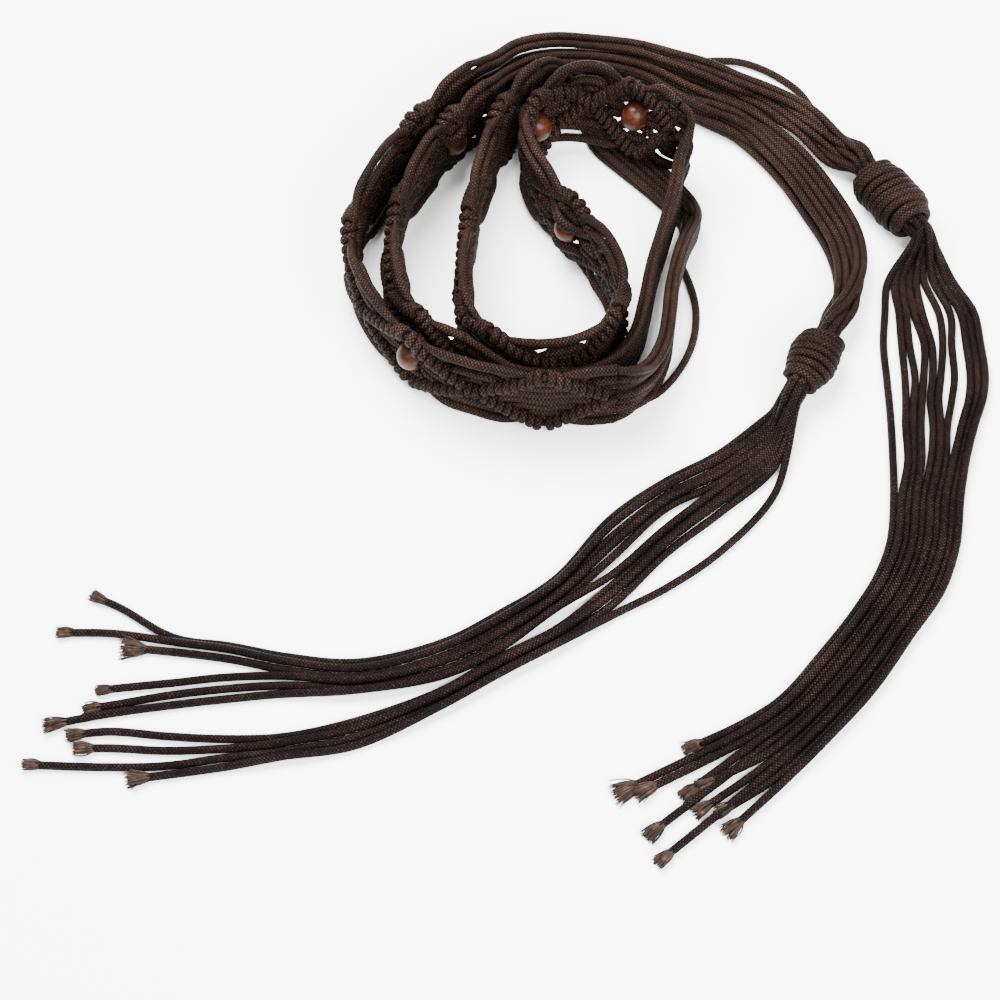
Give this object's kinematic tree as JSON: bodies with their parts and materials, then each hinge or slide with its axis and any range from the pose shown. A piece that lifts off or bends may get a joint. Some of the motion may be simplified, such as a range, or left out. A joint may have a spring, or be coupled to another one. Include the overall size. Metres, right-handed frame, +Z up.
{
  "type": "rope belt",
  "caption": "Knotted cord waist belt lying coiled on edge: a pierced band of cord diamonds with wooden beads, plain cord stretches, a knot at the head of each tail and frayed ends.",
  "frame": {"origin": "middle of the belt's outline on the surface that it lies on", "axes": "+Z up, +X to the right and +Y away from a viewer who looks at it as the picture does"},
  "size_m": [0.3468, 0.342, 0.0431],
  "materials": {
    "cord": "dark brown waxed round braid, matt with fine lighter specks",
    "bead": "reddish brown wood under a glossy varnish"
  },
  "bodies": {
    "root": {"band_centre": "cord", "band_outer": "cord", "band_middle": "cord", "gap_cords_inner": "cord", "gap_cords_outer": "cord", "loose_cords_outer": "cord", "loose_cords_inner": "cord", "knot_outer": "cord", "knot_inner": "cord", "tail_right": "cord", "tail_left": "cord", "bead_centre_1": "bead", "bead_centre_2": "bead", "bead_centre_3": "bead", "bead_outer_2": "bead", "bead_middle_3": "bead"}
  },
  "joints": []
}
